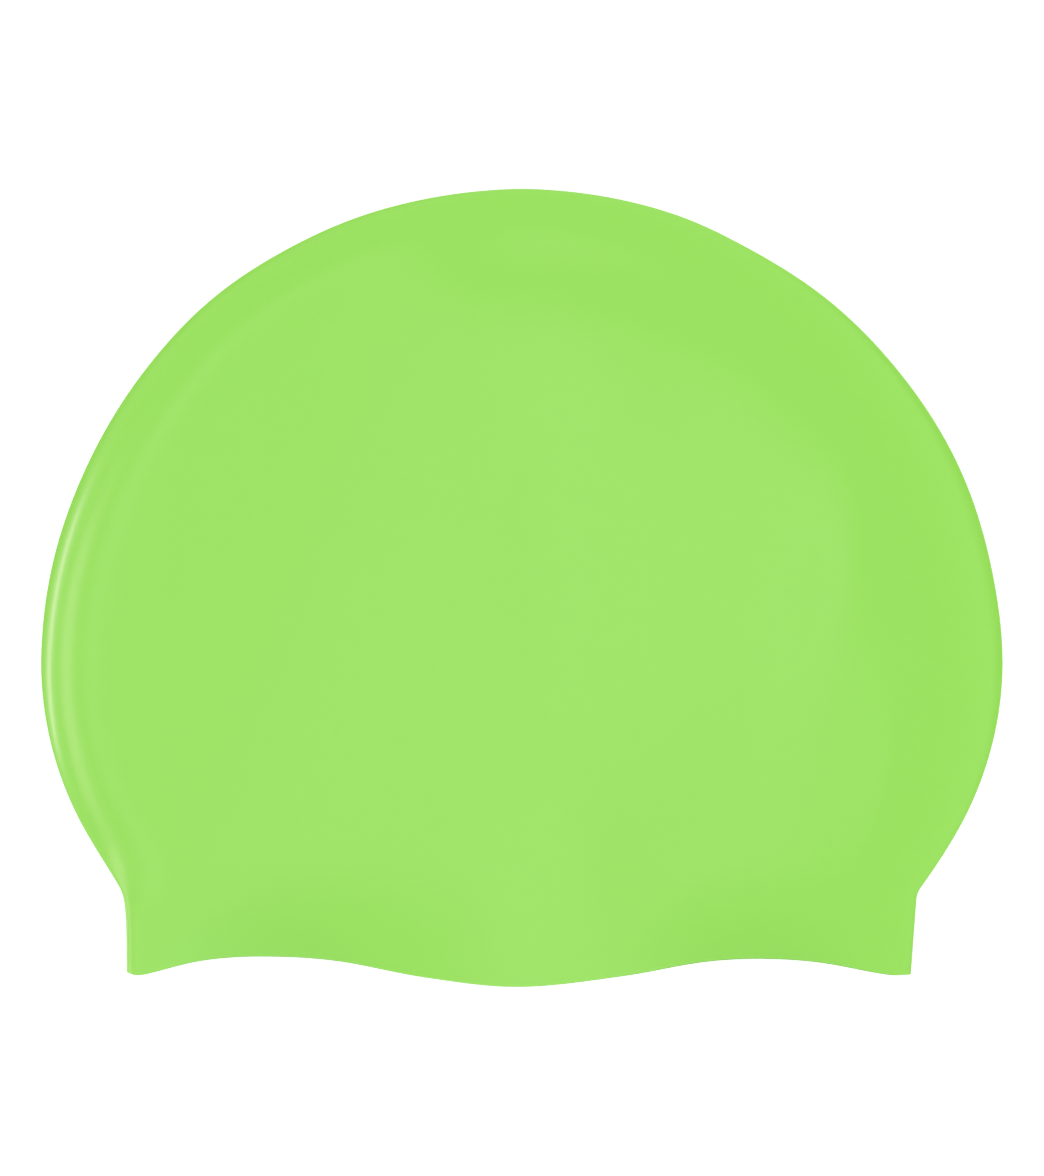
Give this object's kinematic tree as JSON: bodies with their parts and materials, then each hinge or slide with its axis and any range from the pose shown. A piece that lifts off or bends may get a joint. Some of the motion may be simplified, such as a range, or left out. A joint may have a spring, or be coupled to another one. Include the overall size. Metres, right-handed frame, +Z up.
{
  "type": "swim cap",
  "caption": "Plain domed swimming cap of soft silicone, lying flat on its side, with a wavy open hem that dips over the ear.",
  "frame": {"origin": "on the table, under the middle of the lying cap's bounding box", "axes": "+X from the front fold to the back fold, +Y from the open hem to the crown, +Z up through the two walls"},
  "size_m": [0.2301, 0.1911, 0.0178],
  "materials": {
    "silicone": "satin moulded silicone, lime green"
  },
  "bodies": {
    "root": {"cap_shell": "silicone"}
  },
  "joints": []
}
